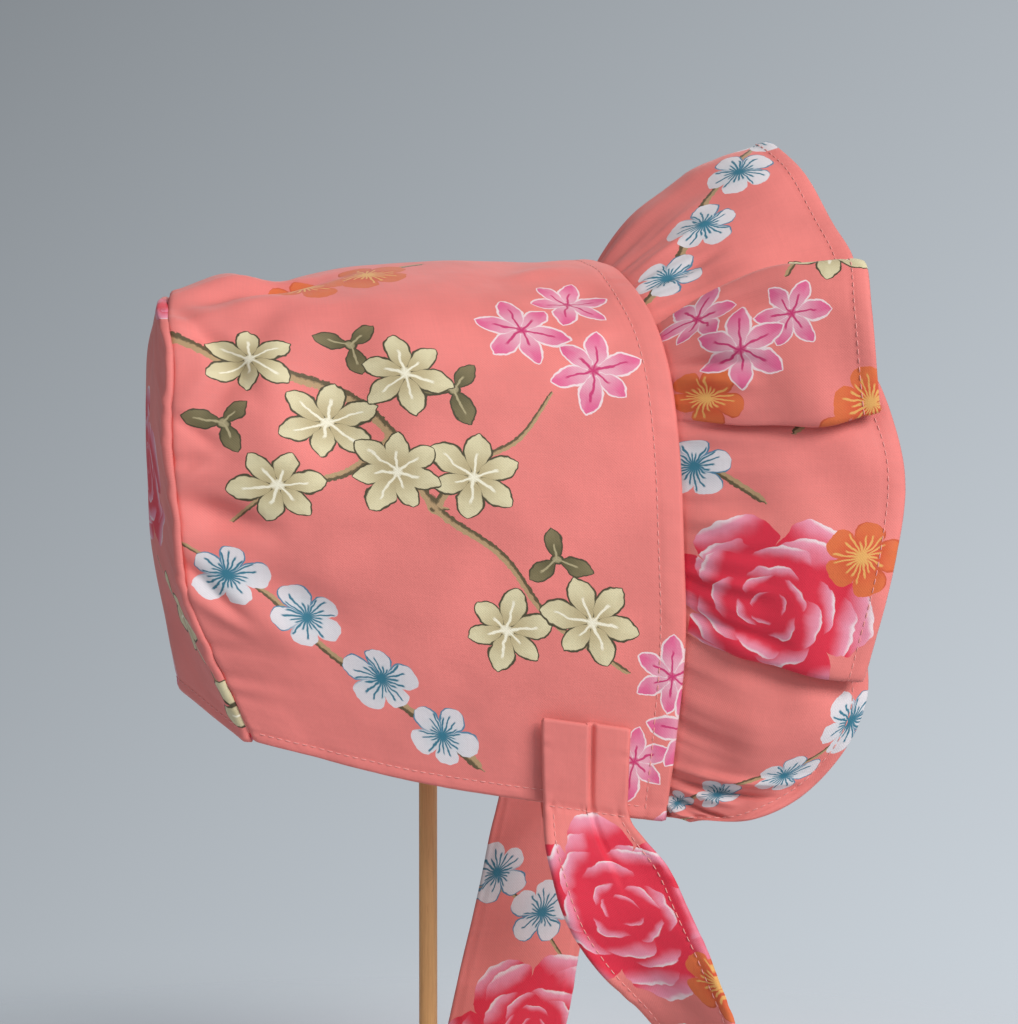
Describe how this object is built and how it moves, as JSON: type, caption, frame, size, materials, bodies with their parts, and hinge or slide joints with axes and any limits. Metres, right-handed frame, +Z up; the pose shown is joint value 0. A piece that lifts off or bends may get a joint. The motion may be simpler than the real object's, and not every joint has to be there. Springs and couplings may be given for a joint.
{
  "type": "baby bonnet on dowel stand",
  "caption": "Baby sunbonnet of printed cotton with a deep gathered brim round the face, a closed back panel and two hanging ties, held on a round wooden stand.",
  "frame": {"origin": "centre of the stand base's underside, with the dowel's axis on Z", "axes": "+X the way the bonnet faces, +Y the wearer's left, +Z up along the dowel"},
  "size_m": [0.2327, 0.1784, 0.3416],
  "materials": {
    "floral_cotton": "plain-woven cotton, matt, with a floral print on coral",
    "pale_wood": "plain sanded hardwood"
  },
  "bodies": {
    "root": {"crown": "floral_cotton", "back_panel": "floral_cotton", "brim": "floral_cotton", "tie_right": "floral_cotton", "tie_left": "floral_cotton", "stand_dowel": "pale_wood", "stand_cap": "pale_wood", "stand_base": "pale_wood"}
  },
  "joints": []
}
